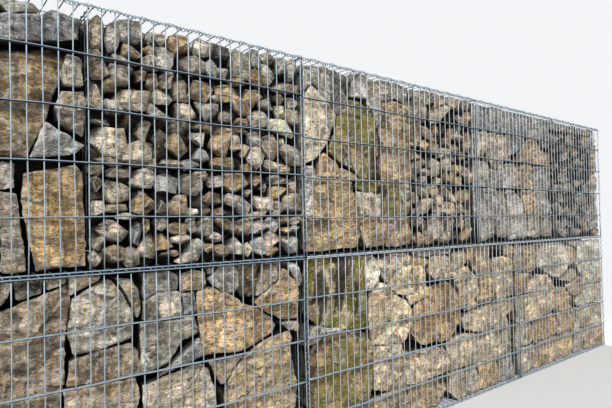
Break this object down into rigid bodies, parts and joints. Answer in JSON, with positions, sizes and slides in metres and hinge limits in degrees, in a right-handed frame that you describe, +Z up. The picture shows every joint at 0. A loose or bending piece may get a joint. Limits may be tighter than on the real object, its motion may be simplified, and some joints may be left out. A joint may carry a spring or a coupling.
{
  "type": "gabion wall",
  "caption": "Free-standing gabion wall of welded wire mesh baskets stacked with staggered joints and filled with quarry stone.",
  "frame": {"origin": "on the ground, under the middle of the wall's length and depth", "axes": "+X along the wall to the right of someone facing its front, -Y out of the front face, +Z up"},
  "size_m": [5.5, 0.5, 2],
  "materials": {
    "galvanised_wire": "satin",
    "stone": "matte"
  },
  "bodies": {
    "root": {"lower_1_back_panel": "galvanised_wire", "lower_1_block_fill": "stone", "lower_1_floor_panel": "galvanised_wire", "lower_1_front_panel": "galvanised_wire", "lower_1_lid": "galvanised_wire", "lower_2_back_panel": "galvanised_wire", "lower_2_block_fill": "stone", "lower_2_floor_panel": "galvanised_wire", "lower_2_front_panel": "galvanised_wire", "lower_2_lid": "galvanised_wire", "lower_3_back_panel": "galvanised_wire", "lower_3_block_fill": "stone", "lower_3_floor_panel": "galvanised_wire", "lower_3_front_panel": "galvanised_wire", "lower_3_lid": "galvanised_wire", "lower_left_end": "galvanised_wire", "lower_partition_1": "galvanised_wire", "lower_partition_2": "galvanised_wire", "lower_right_end": "galvanised_wire", "upper_1_back_panel": "galvanised_wire", "upper_1_block_fill": "stone", "upper_1_diaphragm": "galvanised_wire", "upper_1_floor_panel": "galvanised_wire", "upper_1_front_panel": "galvanised_wire", "upper_1_lid": "galvanised_wire", "upper_1_rubble_fill": "stone", "upper_2_back_panel": "galvanised_wire", "upper_2_block_fill": "stone", "upper_2_diaphragm": "galvanised_wire", "upper_2_floor_panel": "galvanised_wire", "upper_2_front_panel": "galvanised_wire", "upper_2_lid": "galvanised_wire", "upper_2_rubble_fill": "stone", "upper_3_back_panel": "galvanised_wire", "upper_3_block_fill": "stone", "upper_3_diaphragm": "galvanised_wire", "upper_3_floor_panel": "galvanised_wire", "upper_3_front_panel": "galvanised_wire", "upper_3_lid": "galvanised_wire", "upper_3_rubble_fill": "stone", "upper_left_end": "galvanised_wire", "upper_partition_1": "galvanised_wire", "upper_partition_2": "galvanised_wire", "upper_right_end": "galvanised_wire"}
  },
  "joints": []
}
